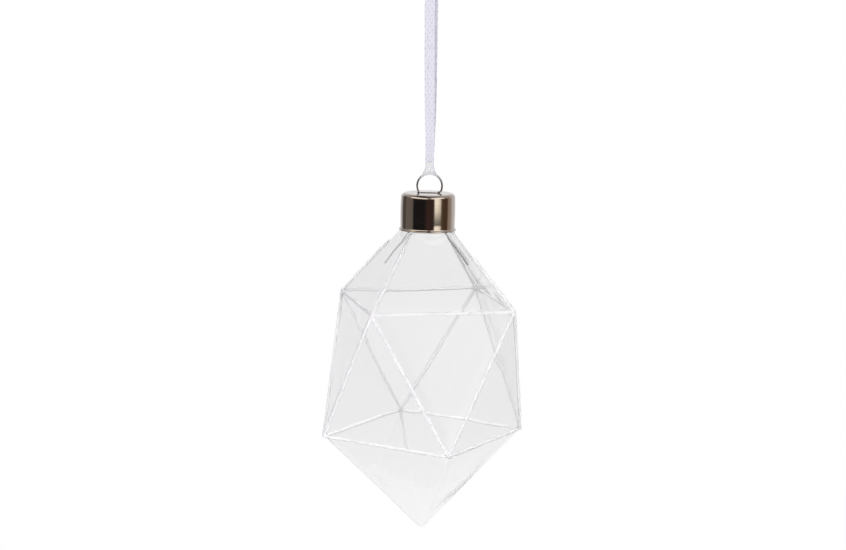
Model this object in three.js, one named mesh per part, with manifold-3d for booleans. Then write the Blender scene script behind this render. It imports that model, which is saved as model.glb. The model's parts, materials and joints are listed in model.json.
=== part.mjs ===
// A hanging glass ornament: a hollow faceted glass body with glitter along its edges, a metal cap with a sprung wire
// clip, and a ribbon loop. Millimetres, +Z up, origin at the hanging point, just under the ribbon's knot.
import * as THREE from "three";
import { ConvexGeometry } from "three/addons/geometries/ConvexGeometry.js";
import { mergeVertices } from "three/addons/utils/BufferGeometryUtils.js";
import Module from "manifold-3d";

const wasm = await Module();
wasm.setup();

// ---- Driving dimensions ----

// Glass body: a square pyramid, a twisted square prism of eight triangles, and a square pyramid that ends in the tip.
const upperRingRadius = 37;
const lowerRingRadius = 37.6;
const topPyramidHeight = 37.6;
const sideHeight = 49.5;
const bottomPyramidHeight = 37.5;
const tipFlatRadius = 1.3;
const tipRounding = 0.7;
const glassWall = 1.1;
const glassTurn = THREE.MathUtils.degToRad(14);

// Glass neck, and the shoulder that widens from it to the faces.
const neckRadius = 9.1;
const neckBoreRadius = 8;
const shoulderSlope = 1.5;
const shoulderBelowCap = 0.1;

// Cap.
const capHeight = 13.4;
const capWall = 0.45;
const capFillet = 1.6;
const capLipFlare = 0.55;
const capLipHeight = 1.1;
const capOnNeckClearance = 0.3;
const apexBelowCapTop = 2;
const slotLength = 8.3;
const slotWidth = 1.5;

// Wire clip: a round eye above the cap and two legs that spring apart inside the glass.
const wireDiameter = 0.8;
const eyeRadius = 4.45;
const eyeHeight = 7.1;
const eyeWaist = 2.75;
const legReach = 26.3;
const legClearance = 0.35;

// Ribbon.
const ribbonWidth = 3.7;
const ribbonThickness = 0.5;
const pieceGap = 0.3;
const foldWidth = 4;
const foldNeckHeight = 4.2;
const knotHalfSize = new THREE.Vector3(3.4, 2.6, 2.9);
const tailLength = 10;
const tailLean = THREE.MathUtils.degToRad(20);

// Glitter lines.
const glitterHalfWidth = 0.65;
const glitterHeight = 0.45;
const glitterBond = 0.1;
const topLineReach = [0.5, 0.54, 0.56, 0.58];
const tipLineReach = 0.36;

// ---- Ribbon routes, from the fold up to the knot ----

const frontRoute = [
  [0.3, -0.4, -62.5],
  [0.28, -0.4, -58.5],
  [0.22, -0.4, -54.5],
  [0.12, -0.4, -50.5],
  [0.0, -0.4, -46.5],
  [-0.12, -0.4, -42],
  [-0.24, -0.4, -37.5],
  [-0.35, -0.4, -33],
  [-0.45, -0.4, -28.5],
  [-0.54, -0.4, -24],
  [-0.62, -0.4, -19.5],
  [-0.69, -0.4, -15],
  [-0.75, -0.4, -11],
  [-0.79, -0.4, -7],
  [-0.8, -0.4, -3.5],
  [-0.8, -0.4, -0.3],
];
const backRoute = [
  [0.3, 0.4, -62.5],
  [0.33, 0.4, -58.5],
  [0.37, 0.4, -54.5],
  [0.41, 0.4, -50.5],
  [0.44, 0.4, -46.5],
  [0.45, 0.4, -42],
  [0.45, 0.4, -37.5],
  [0.44, 0.4, -33],
  [0.42, 0.4, -28.5],
  [0.4, 0.4, -24],
  [0.37, 0.4, -19.5],
  [0.34, 0.4, -15],
  [0.31, 0.4, -11],
  [0.28, 0.4, -7],
  [0.26, 0.4, -3.5],
  [0.25, 0.4, -0.3],
];

// ---- Levels, worked out from the top down ----

const strandBottom = frontRoute[0][2];
const foldTop = strandBottom - pieceGap;
const eyeCrown = foldTop - foldNeckHeight;
const capTop = eyeCrown - eyeHeight;
const capBottom = capTop - capHeight;
const apex = capTop - apexBelowCapTop;
const upperRing = apex - topPyramidHeight;
const lowerRing = upperRing - sideHeight;
const tip = lowerRing - bottomPyramidHeight;

const capInnerRadius = neckRadius + capOnNeckClearance;
const capRadius = capInnerRadius + capWall;
const filletCentreRadius = capRadius - capFillet;
const filletCentreLevel = capTop - capFillet;
const shoulderTop = capBottom + shoulderBelowCap;

// ---- Materials ----

function finish(color, roughness, metalness) {
  return new THREE.MeshStandardMaterial({ color, roughness, metalness });
}

const clearGlass = finish("#e9eaee", 0.05, 0);
const darkChrome = finish("#4a4440", 0.18, 1);
const steelWire = finish("#77757a", 0.25, 1);
const satin = finish("#ece9f4", 0.7, 0);
const silverGlitter = finish("#f7f5fb", 0.4, 0.2);

// ---- Solids and booleans ----

const vertexMerge = 1e-4;

function toSolid(geometry) {
  const bare = geometry.index ? geometry.toNonIndexed() : geometry.clone();
  bare.deleteAttribute("normal");
  bare.deleteAttribute("uv");
  const merged = mergeVertices(bare, vertexMerge);
  const mesh = new wasm.Mesh({
    numProp: 3,
    vertProperties: merged.attributes.position.array,
    triVerts: new Uint32Array(merged.index.array),
  });
  return new wasm.Manifold(mesh);
}

function toGeometry(solid) {
  const { vertProperties, triVerts } = solid.getMesh();
  return new THREE.BufferGeometry()
    .setAttribute("position", new THREE.BufferAttribute(vertProperties, 3))
    .setIndex(new THREE.BufferAttribute(triVerts, 1));
}

const ornament = new THREE.Group();

function addPiece(name, geometry, material) {
  const mesh = new THREE.Mesh(geometry, material);
  mesh.name = name;
  ornament.add(mesh);
  return mesh;
}

const roundSegments = 48;

// A solid of revolution about Z, from [radius, level] points that start and end on the axis.
function lathe(points, segments = roundSegments) {
  const profile = points.map(([radius, level]) => new THREE.Vector2(radius, level));
  return new THREE.LatheGeometry(profile, segments).rotateX(Math.PI / 2);
}

// Points on a quarter circle from level with its centre up to right above it.
function quarterArc(centreRadius, centreLevel, radius, steps = 5) {
  return Array.from({ length: steps + 1 }, (_, step) => {
    const angle = (step / steps) * (Math.PI / 2);
    return [centreRadius + radius * Math.cos(angle), centreLevel + radius * Math.sin(angle)];
  });
}

// ---- Glass body ----

function ring(radius, level, turn) {
  return [0, 1, 2, 3].map((corner) => {
    const angle = turn + (corner * Math.PI) / 2;
    return new THREE.Vector3(radius * Math.sin(angle), -radius * Math.cos(angle), level);
  });
}

// The lower ring's corners are front, right, back and left; the upper ring's lie half a corner further round.
const lowerCorners = ring(lowerRingRadius, lowerRing, glassTurn);
const upperCorners = ring(upperRingRadius, upperRing, glassTurn + Math.PI / 4);
const apexPoint = new THREE.Vector3(0, 0, apex);
const tipPoint = new THREE.Vector3(0, 0, tip);

// How steep each pyramid's faces are, and how far a wall shifts a top face towards the axis.
const squareInradius = Math.cos(Math.PI / 4);
const topFaceAngle = Math.atan2(topPyramidHeight, upperRingRadius * squareInradius);
const bottomFaceAngle = Math.atan2(bottomPyramidHeight, lowerRingRadius * squareInradius);
const topWallShift = glassWall / Math.sin(topFaceAngle);

// The faceted body without its neck, its pyramid faces moved in by an inset and its rings brought nearer to suit.
function facetedBody(inset) {
  const ringShift = inset * 0.45;
  const top = apex - inset / Math.cos(topFaceAngle);
  const bottom = tip + inset / Math.cos(bottomFaceAngle);
  const upperLevel = upperRing - ringShift;
  const lowerLevel = lowerRing + ringShift;
  const radiusUnder = (height, angle) => height / Math.tan(angle) / squareInradius;
  const tipRadius = tipFlatRadius + inset;
  const tipLevel = bottom + tipRadius * squareInradius * Math.tan(bottomFaceAngle);
  const points = [
    new THREE.Vector3(0, 0, top),
    ...ring(radiusUnder(top - upperLevel, topFaceAngle), upperLevel, glassTurn + Math.PI / 4),
    ...ring(radiusUnder(lowerLevel - bottom, bottomFaceAngle), lowerLevel, glassTurn),
    ...ring(tipRadius, tipLevel, glassTurn),
    new THREE.Vector3(0, 0, tipLevel - tipRounding),
  ];
  return toSolid(new ConvexGeometry(points));
}

// The room under a shoulder that starts at a neck's radius and widens downwards past every corner.
function roomUnderShoulder(radius, top) {
  const widest = Math.max(upperRingRadius, lowerRingRadius) + radius;
  return toSolid(
    lathe([
      [0, tip - radius],
      [widest, tip - radius],
      [widest, top - (widest - radius) / shoulderSlope],
      [radius, top],
      [0, top],
    ]),
  );
}

// The level at which the top pyramid's faces, shifted inwards, are a given distance from the axis.
function faceLevel(distance, shift) {
  return apex - (distance + shift) * Math.tan(topFaceAngle);
}

// The level where the bore opens into the hollow.
const innerShoulderTop = shoulderTop - glassWall;
const boreEnd = Math.min(faceLevel(neckBoreRadius, topWallShift), innerShoulderTop);

function makeGlassBody() {
  const neckFoot = Math.min(faceLevel(neckRadius, 0), shoulderTop) - glassWall;
  const neck = toSolid(
    lathe([
      [0, neckFoot],
      [neckRadius, neckFoot],
      ...quarterArc(filletCentreRadius, filletCentreLevel, neckRadius - filletCentreRadius),
      [0, filletCentreLevel + neckRadius - filletCentreRadius],
    ]),
  );
  const outside = facetedBody(0).intersect(roomUnderShoulder(neckRadius, shoulderTop)).add(neck);
  const boreFoot = boreEnd - glassWall;
  const bore = toSolid(
    lathe([
      [0, boreFoot],
      [neckBoreRadius, boreFoot],
      [neckBoreRadius, capTop],
      [0, capTop],
    ]),
  );
  const inside = facetedBody(glassWall)
    .intersect(roomUnderShoulder(neckBoreRadius, innerShoulderTop))
    .add(bore);
  return toGeometry(outside.subtract(inside));
}

addPiece("glass_body", makeGlassBody(), clearGlass);

// ---- Cap ----

function makeCap() {
  const lipTop = capBottom + capLipHeight;
  const lipEdge = capBottom + capWall;
  const shell = toSolid(
    lathe([
      [0, capTop - capWall],
      ...quarterArc(filletCentreRadius, filletCentreLevel, capFillet - capWall).reverse(),
      [capInnerRadius, lipTop],
      [capInnerRadius + capLipFlare, lipEdge],
      [capInnerRadius + capLipFlare, capBottom],
      [capRadius + capLipFlare, capBottom],
      [capRadius + capLipFlare, lipEdge],
      [capRadius, lipTop],
      ...quarterArc(filletCentreRadius, filletCentreLevel, capFillet),
      [0, capTop],
    ]),
  );
  const halfStraight = (slotLength - slotWidth) / 2;
  const slotOutline = new THREE.Shape();
  slotOutline.absarc(halfStraight, 0, slotWidth / 2, -Math.PI / 2, Math.PI / 2, false);
  slotOutline.absarc(-halfStraight, 0, slotWidth / 2, Math.PI / 2, (3 * Math.PI) / 2, false);
  const slot = new THREE.ExtrudeGeometry(slotOutline, {
    depth: 3 * capWall,
    bevelEnabled: false,
    curveSegments: 8,
  }).translate(0, 0, capTop - 2 * capWall);
  return toGeometry(shell.subtract(toSolid(slot)));
}

addPiece("cap", makeCap(), darkChrome);

// ---- Wire clip ----

// A round or flat section swept along a curve; a round one has this many sides.
const wireSides = 8;

function sweep(section, curve, steps) {
  return new THREE.ExtrudeGeometry(section, { steps, extrudePath: curve, curveSegments: wireSides / 2 });
}

function roundSection(radius) {
  const section = new THREE.Shape();
  section.absarc(0, 0, radius, 0, 2 * Math.PI, false);
  return section;
}

// How far from the axis the middle of the wire may lie at a level, beside the glass's inner face.
function legRoom(level) {
  const face = (apex - level) / Math.tan(topFaceAngle) - topWallShift;
  const standOff = (wireDiameter / 2 + legClearance) / Math.sin(topFaceAngle);
  return (face - standOff) / Math.cos(glassTurn);
}

function makeClip() {
  const eyeCentre = eyeCrown - eyeRadius;
  const bendReach = neckBoreRadius - wireDiameter / 2 - legClearance;
  const bendLevel = boreEnd - legClearance;
  const tipLevel = capTop - legReach;
  const rightLeg = [
    [legRoom(tipLevel), tipLevel],
    [bendReach, bendLevel],
    [eyeWaist + 0.6, capTop - 3.6],
    [eyeWaist, capTop - 1.3],
    [eyeWaist + 0.35, capTop - 0.2],
  ];
  const eyeArc = Array.from({ length: 13 }, (_, step) => {
    const angle = THREE.MathUtils.degToRad(-24 + step * 19);
    return [eyeRadius * Math.cos(angle), eyeCentre + eyeRadius * Math.sin(angle)];
  });
  const leftLeg = rightLeg.map(([x, level]) => [-x, level]).reverse();
  const points = [...rightLeg, ...eyeArc, ...leftLeg].map(([x, level]) => new THREE.Vector3(x, 0, level));
  const wire = new THREE.CatmullRomCurve3(points, false, "centripetal");
  return sweep(roundSection(wireDiameter / 2), wire, 84);
}

addPiece("hanger_clip", makeClip(), steelWire);

// ---- Ribbon ----

// A ribbon's flat section with chamfered corners; its second axis is the ribbon's width.
function ribbonSection() {
  const halfThick = ribbonThickness / 2;
  const halfWide = ribbonWidth / 2;
  const chamfer = halfThick / 2;
  return new THREE.Shape([
    new THREE.Vector2(halfThick, -halfWide + chamfer),
    new THREE.Vector2(halfThick, halfWide - chamfer),
    new THREE.Vector2(halfThick - chamfer, halfWide),
    new THREE.Vector2(-halfThick + chamfer, halfWide),
    new THREE.Vector2(-halfThick, halfWide - chamfer),
    new THREE.Vector2(-halfThick, -halfWide + chamfer),
    new THREE.Vector2(-halfThick + chamfer, -halfWide),
    new THREE.Vector2(halfThick - chamfer, -halfWide),
  ]);
}

function makeStrand(route) {
  const curve = new THREE.CatmullRomCurve3(route.map((point) => new THREE.Vector3(...point)));
  return sweep(ribbonSection(), curve, 20);
}

addPiece("ribbon_front_strand", makeStrand(frontRoute), satin);
addPiece("ribbon_back_strand", makeStrand(backRoute), satin);

// The fold passes through the eye and round the crown of the wire, with room for the wire to rock in it.
function makeFold() {
  const crownDrop = eyeRadius - Math.sqrt(eyeRadius ** 2 - (foldWidth / 2) ** 2);
  const innerRadius = crownDrop + wireDiameter / 2 + pieceGap;
  const outerRadius = innerRadius + ribbonThickness;
  const neckHalf = ribbonThickness + pieceGap / 2;
  const neckAngle = Math.acos(neckHalf / outerRadius);
  const outline = new THREE.Shape();
  outline.moveTo(neckHalf, foldNeckHeight);
  outline.lineTo(-neckHalf, foldNeckHeight);
  outline.absarc(0, 0, outerRadius, Math.PI - neckAngle, 2 * Math.PI + neckAngle, false);
  outline.closePath();
  const wireRoom = new THREE.Path();
  wireRoom.absarc(0, 0, innerRadius, 0, 2 * Math.PI, true);
  outline.holes.push(wireRoom);
  return new THREE.ExtrudeGeometry(outline, { depth: foldWidth, bevelEnabled: false, curveSegments: 10 });
}

const fold = addPiece("ribbon_fold", makeFold(), satin);
fold.applyMatrix4(
  new THREE.Matrix4()
    .makeBasis(new THREE.Vector3(0, 1, 0), new THREE.Vector3(0, 0, 1), new THREE.Vector3(1, 0, 0))
    .setPosition(-foldWidth / 2, 0, eyeCrown),
);

function makeKnot() {
  const wrap = new THREE.SphereGeometry(1, 20, 12)
    .rotateX(Math.PI / 2)
    .scale(knotHalfSize.x, knotHalfSize.y, knotHalfSize.z)
    .translate(0, 0, knotHalfSize.z);
  const tail = (lean) =>
    new THREE.BoxGeometry(ribbonWidth, ribbonThickness, tailLength)
      .translate(0, 0, tailLength / 2)
      .rotateY(lean)
      .translate(0, -Math.sign(lean) * ribbonThickness, knotHalfSize.z);
  return toGeometry(toSolid(wrap).add(toSolid(tail(tailLean))).add(toSolid(tail(-tailLean))));
}

addPiece("ribbon_knot", makeKnot(), satin);

// ---- Glitter lines ----

// Lines stop short of a corner so far that the two closest there, a pair of side lines, keep a gap.
const upperSide = upperCorners[0].distanceTo(upperCorners[1]);
const sideLine = lowerCorners[0].distanceTo(upperCorners[0]);
const closestHalfAngle = Math.asin(upperSide / 2 / sideLine);
const cornerSetback = (glitterHalfWidth + pieceGap / 2) / Math.sin(closestHalfAngle);

// A bead astride the edge between two corners; beside1 and beside2 are the far corners of the faces that meet there.
function addGlitterLine(name, from, to, beside1, beside2, reach = 1) {
  const along = to.clone().sub(from).normalize();
  const inFace = (beside) => {
    const across = beside.clone().sub(from);
    return across.addScaledVector(along, -across.dot(along)).normalize();
  };
  const face1 = inFace(beside1);
  const face2 = inFace(beside2);
  const outward = face1.clone().add(face2).normalize().negate();
  const sideways = outward.clone().cross(along);
  const slope = Math.asin(-face1.dot(outward));
  const onFace = (side, distance, height) =>
    new THREE.Vector2(
      side * (distance * Math.cos(slope) + height * Math.sin(slope)),
      height * Math.cos(slope) - distance * Math.sin(slope),
    );
  const section = new THREE.Shape([
    onFace(-1, glitterHalfWidth, glitterBond),
    new THREE.Vector2(0, glitterBond / Math.cos(slope)),
    onFace(1, glitterHalfWidth, glitterBond),
    onFace(1, glitterHalfWidth / 2, glitterHeight),
    new THREE.Vector2(0, glitterBond + glitterHeight),
    onFace(-1, glitterHalfWidth / 2, glitterHeight),
  ]);
  const edge = from.distanceTo(to);
  const end = reach < 1 ? edge * reach : edge - cornerSetback;
  const bead = new THREE.ExtrudeGeometry(section, { depth: end - cornerSetback, bevelEnabled: false });
  const mesh = addPiece(name, bead, silverGlitter);
  mesh.applyMatrix4(
    new THREE.Matrix4()
      .makeBasis(sideways, outward, along)
      .setPosition(from.clone().addScaledVector(along, cornerSetback)),
  );
}

const lowerNames = ["front", "right", "back", "left"];
const upperNames = ["front_right", "back_right", "back_left", "front_left"];
const upperSideNames = ["right", "back", "left", "front"];

for (let i = 0; i < 4; i++) {
  const next = (i + 1) % 4;
  const previous = (i + 3) % 4;
  const lower = lowerCorners[i];
  const upper = upperCorners[i];
  const lowerNext = lowerCorners[next];
  const upperNext = upperCorners[next];
  const upperPrevious = upperCorners[previous];
  addGlitterLine(`glitter_top_${upperNames[i]}`, upper, apexPoint, upperPrevious, upperNext, topLineReach[i]);
  addGlitterLine(`glitter_upper_ring_${upperSideNames[i]}`, upper, upperNext, apexPoint, lowerNext);
  addGlitterLine(`glitter_side_${lowerNames[i]}_rising_right`, lower, upper, upperPrevious, lowerNext);
  addGlitterLine(`glitter_side_${lowerNames[next]}_rising_left`, lowerNext, upper, lower, upperNext);
  addGlitterLine(`glitter_lower_ring_${upperNames[i]}`, lower, lowerNext, upper, tipPoint);
}
addGlitterLine("glitter_tip_back", lowerCorners[2], tipPoint, lowerCorners[1], lowerCorners[3], tipLineReach);

export default ornament;
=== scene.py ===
"""A faceted glass ornament with glitter lines, a chrome cap, a sprung wire clip and a ribbon loop."""

import json
import math
import random

import bmesh
import bpy
from bpy.props import FloatProperty, FloatVectorProperty, IntProperty, PointerProperty
from mathutils import Matrix, Vector, noise
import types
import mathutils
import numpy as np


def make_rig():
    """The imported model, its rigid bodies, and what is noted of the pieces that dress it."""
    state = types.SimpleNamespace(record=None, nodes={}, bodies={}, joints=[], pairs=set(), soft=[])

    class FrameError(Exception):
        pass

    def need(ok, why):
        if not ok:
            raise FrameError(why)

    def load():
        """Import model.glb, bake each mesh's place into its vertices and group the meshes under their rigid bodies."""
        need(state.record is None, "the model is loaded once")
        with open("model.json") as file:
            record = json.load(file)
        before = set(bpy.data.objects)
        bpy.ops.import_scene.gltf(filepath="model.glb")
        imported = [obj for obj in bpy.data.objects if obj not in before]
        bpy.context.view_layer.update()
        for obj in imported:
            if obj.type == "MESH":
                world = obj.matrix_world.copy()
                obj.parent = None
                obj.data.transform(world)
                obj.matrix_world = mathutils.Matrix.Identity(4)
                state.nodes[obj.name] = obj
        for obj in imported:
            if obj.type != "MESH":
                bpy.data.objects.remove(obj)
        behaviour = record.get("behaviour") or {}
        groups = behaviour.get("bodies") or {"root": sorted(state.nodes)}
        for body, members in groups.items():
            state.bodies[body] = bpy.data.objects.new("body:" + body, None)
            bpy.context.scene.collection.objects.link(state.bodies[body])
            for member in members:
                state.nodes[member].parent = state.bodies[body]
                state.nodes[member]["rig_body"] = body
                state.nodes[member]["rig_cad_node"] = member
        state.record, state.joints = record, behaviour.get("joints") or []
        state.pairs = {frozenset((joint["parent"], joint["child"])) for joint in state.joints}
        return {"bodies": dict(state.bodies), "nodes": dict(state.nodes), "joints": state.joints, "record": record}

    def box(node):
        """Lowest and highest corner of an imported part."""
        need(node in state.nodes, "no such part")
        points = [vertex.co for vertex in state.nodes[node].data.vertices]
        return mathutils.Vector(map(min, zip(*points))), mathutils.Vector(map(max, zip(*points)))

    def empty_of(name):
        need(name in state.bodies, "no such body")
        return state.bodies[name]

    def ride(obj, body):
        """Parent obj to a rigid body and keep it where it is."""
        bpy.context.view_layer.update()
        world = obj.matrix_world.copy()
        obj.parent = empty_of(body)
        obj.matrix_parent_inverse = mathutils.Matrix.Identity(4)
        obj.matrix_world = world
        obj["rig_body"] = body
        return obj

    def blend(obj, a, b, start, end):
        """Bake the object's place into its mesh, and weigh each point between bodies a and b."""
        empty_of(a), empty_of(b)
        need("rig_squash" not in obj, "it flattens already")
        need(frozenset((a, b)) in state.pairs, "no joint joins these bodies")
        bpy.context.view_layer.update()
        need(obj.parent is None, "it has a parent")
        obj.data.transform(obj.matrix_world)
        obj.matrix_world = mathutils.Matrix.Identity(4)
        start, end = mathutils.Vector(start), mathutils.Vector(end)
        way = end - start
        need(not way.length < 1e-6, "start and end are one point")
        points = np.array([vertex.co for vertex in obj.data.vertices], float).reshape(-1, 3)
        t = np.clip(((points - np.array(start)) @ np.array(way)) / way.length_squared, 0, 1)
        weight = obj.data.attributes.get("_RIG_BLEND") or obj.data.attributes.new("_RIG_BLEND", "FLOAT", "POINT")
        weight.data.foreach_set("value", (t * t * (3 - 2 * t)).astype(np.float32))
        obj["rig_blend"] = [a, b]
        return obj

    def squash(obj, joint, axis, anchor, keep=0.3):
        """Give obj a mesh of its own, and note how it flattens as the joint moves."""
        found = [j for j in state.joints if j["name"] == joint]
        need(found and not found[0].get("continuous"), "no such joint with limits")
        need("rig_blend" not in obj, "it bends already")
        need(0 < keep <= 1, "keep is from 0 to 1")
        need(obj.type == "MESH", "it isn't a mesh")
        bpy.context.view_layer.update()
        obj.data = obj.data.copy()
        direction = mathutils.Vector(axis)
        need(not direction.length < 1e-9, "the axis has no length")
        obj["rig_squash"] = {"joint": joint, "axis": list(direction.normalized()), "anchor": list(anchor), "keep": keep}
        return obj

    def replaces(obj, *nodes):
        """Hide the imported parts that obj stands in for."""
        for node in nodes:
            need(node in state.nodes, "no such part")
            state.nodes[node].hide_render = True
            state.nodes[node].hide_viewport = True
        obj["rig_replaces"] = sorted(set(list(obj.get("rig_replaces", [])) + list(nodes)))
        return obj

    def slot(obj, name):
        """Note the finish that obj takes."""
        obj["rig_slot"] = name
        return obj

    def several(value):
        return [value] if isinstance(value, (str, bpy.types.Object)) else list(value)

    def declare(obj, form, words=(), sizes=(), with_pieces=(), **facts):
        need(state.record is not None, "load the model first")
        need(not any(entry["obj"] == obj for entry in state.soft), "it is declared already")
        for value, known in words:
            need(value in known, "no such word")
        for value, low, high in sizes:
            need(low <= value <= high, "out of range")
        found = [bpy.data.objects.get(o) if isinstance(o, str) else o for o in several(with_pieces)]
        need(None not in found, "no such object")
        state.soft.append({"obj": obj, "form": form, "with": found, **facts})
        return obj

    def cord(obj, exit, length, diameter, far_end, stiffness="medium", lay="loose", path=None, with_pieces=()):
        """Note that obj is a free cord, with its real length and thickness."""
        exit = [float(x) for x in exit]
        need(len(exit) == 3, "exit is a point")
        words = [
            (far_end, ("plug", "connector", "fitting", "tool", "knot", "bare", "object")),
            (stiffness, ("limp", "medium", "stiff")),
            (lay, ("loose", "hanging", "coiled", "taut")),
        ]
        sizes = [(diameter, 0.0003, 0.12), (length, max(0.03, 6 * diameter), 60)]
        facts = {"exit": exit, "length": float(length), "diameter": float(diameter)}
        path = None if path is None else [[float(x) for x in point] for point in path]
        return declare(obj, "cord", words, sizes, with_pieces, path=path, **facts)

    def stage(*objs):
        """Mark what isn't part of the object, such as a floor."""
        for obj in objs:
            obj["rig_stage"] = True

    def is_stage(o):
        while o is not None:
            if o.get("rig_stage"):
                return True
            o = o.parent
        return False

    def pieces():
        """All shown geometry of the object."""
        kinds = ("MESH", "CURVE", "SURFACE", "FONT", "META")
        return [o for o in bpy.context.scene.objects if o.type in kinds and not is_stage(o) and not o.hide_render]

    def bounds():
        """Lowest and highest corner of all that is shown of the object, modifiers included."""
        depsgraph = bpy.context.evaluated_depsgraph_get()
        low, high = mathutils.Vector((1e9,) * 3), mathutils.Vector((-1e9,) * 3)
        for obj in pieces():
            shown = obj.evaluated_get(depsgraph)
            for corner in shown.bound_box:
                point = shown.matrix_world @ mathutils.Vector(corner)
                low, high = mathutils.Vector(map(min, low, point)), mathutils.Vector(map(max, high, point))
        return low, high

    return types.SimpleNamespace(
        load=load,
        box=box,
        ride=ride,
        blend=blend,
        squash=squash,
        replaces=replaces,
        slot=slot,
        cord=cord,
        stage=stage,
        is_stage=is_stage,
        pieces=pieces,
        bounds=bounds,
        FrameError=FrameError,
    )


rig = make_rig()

bl_info = {
    "name": "Hanging Glass Ornament",
    "version": (1, 0, 0),
    "blender": (4, 5, 0),
    "location": "3D View > Sidebar > Ornament",
    "description": "Builds a faceted glass ornament with its cap, clip, ribbon and glitter",
    "category": "Object",
}

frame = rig.load()
CAD_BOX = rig.bounds()

MM = 0.001
CAP_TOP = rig.box("cap")[1].z
CAP_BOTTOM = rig.box("cap")[0].z
EYE_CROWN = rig.box("hanger_clip")[1].z
FOLD_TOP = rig.box("ribbon_fold")[1].z

# How far each strand hangs from the middle plane between them.
STRAND_OFFSET = 0.4 * MM

# The ribbon's two routes from the fold up to the knot, as (x, z) in millimetres.
FRONT_LINE = (
    (0.3, -62.5), (0.28, -58.5), (0.22, -54.5), (0.12, -50.5), (0, -46.5), (-0.12, -42), (-0.24, -37.5),
    (-0.35, -33), (-0.45, -28.5), (-0.54, -24), (-0.62, -19.5), (-0.69, -15), (-0.75, -11), (-0.79, -7),
    (-0.8, -3.5), (-0.8, -0.3),
)
BACK_LINE = (
    (0.3, -62.5), (0.33, -58.5), (0.37, -54.5), (0.41, -50.5), (0.44, -46.5), (0.45, -42), (0.45, -37.5),
    (0.44, -33), (0.42, -28.5), (0.4, -24), (0.37, -19.5), (0.34, -15), (0.31, -11), (0.28, -7),
    (0.26, -3.5), (0.25, -0.3),
)
FRONT_ROUTE = [(x * MM, -STRAND_OFFSET, z * MM) for x, z in FRONT_LINE]
BACK_ROUTE = [(x * MM, STRAND_OFFSET, z * MM) for x, z in BACK_LINE]


# ---- Settings ----


def length(name, description, default):
    """A length in metres that a user may change."""
    return FloatProperty(name=name, description=description, default=default, unit="LENGTH", precision=5)


def angle(name, description, degrees):
    """An angle that a user may change."""
    return FloatProperty(name=name, description=description, default=math.radians(degrees), subtype="ANGLE")


def colour(name, description, default):
    """A linear colour that a user may change."""
    return FloatVectorProperty(
        name=name, description=description, default=default, subtype="COLOR", min=0, max=1
    )


class GlassSettings(bpy.types.PropertyGroup):
    """Sizes and colour of the glass body."""

    upper_radius: length("Upper ring radius", "Axis to an upper corner", 37.0 * MM)
    lower_radius: length("Lower ring radius", "Axis to a lower corner", 37.6 * MM)
    apex_drop: length("Apex drop", "Cap top down to where the top faces would meet", 2.0 * MM)
    top_height: length("Top height", "Height of the top pyramid", 37.6 * MM)
    side_height: length("Side height", "Height between the two rings", 49.5 * MM)
    bottom_height: length("Bottom height", "Height of the bottom pyramid", 37.5 * MM)
    turn: angle("Turn", "Turn of the lower corners about the axis", 14.0)
    wall: length("Wall", "Thickness of the blown wall", 0.35 * MM)
    edge_softness: length("Edge softness", "Width taken off each edge by its rounding", 1.3 * MM)
    facet_size: length("Facet size", "Longest mesh edge on a face", 3.4 * MM)
    wave: length("Wave", "How far the blown faces wander from flat", 0.1 * MM)
    neck_radius: length("Neck radius", "Outside of the neck", 9.1 * MM)
    tint: colour("Tint", "Colour of the clear glass", (0.940, 0.936, 0.940))
    # Painted light: the pale colour the glass takes where it is seen edge-on.
    rim_painted_light: colour("Rim tint", "Colour of the glass seen edge-on", (0.99, 0.99, 1.0))


class CapSettings(bpy.types.PropertyGroup):
    """Sizes and colours of the cap and the wire clip."""

    radius: length("Radius", "Outside of the cap's straight wall", 9.85 * MM)
    fillet: length("Fillet", "Rounding of the shoulder", 1.6 * MM)
    wall: length("Wall", "Sheet thickness", 0.4 * MM)
    lip_flare: length("Lip flare", "How far the lip stands out", 0.55 * MM)
    lip_height: length("Lip height", "Height of the flared lip", 1.1 * MM)
    slot_length: length("Slot length", "Length of the slot for the clip", 8.3 * MM)
    slot_width: length("Slot width", "Width of the slot for the clip", 3.4 * MM)
    segments: IntProperty(name="Segments", description="Sides of the round cap", default=128, min=32)
    plating: colour("Plating", "Colour of the dark chrome", (0.46, 0.405, 0.36))
    wire: length("Wire", "Diameter of the clip's wire", 0.7 * MM)
    eye_radius: length("Eye radius", "Radius of the wire eye", 4.5 * MM)
    eye_shift: length("Eye shift", "How far the eye sits to one side", 0.45 * MM)
    leg_reach: length("Leg reach", "How far the legs reach below the cap's top", 26.3 * MM)
    leg_spread: length("Leg spread", "Axis to the end of a leg", 15.0 * MM)
    steel: colour("Steel", "Colour of the wire", (0.32, 0.31, 0.32))


class RibbonSettings(bpy.types.PropertyGroup):
    """Sizes and colours of the ribbon."""

    width: length("Width", "Width of a hanging strand", 3.7 * MM)
    pinched_width: length("Pinched width", "Width where the strand gathers above the eye", 3.1 * MM)
    thickness: length("Thickness", "Thickness of the cloth", 0.2 * MM)
    fold_width: length("Fold width", "Width where the ribbon spreads round the eye", 6.7 * MM)
    fold_run: length("Fold run", "Length of cloth in the fold", 11.0 * MM)
    mesh_pitch: length("Mesh pitch", "Pitch of the woven diamonds", 1.35 * MM)
    light: colour("Light yarn", "Colour of the raised yarns", (0.65, 0.64, 0.72))
    shade: colour("Shade yarn", "Colour between the yarns", (0.56, 0.545, 0.645))


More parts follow.
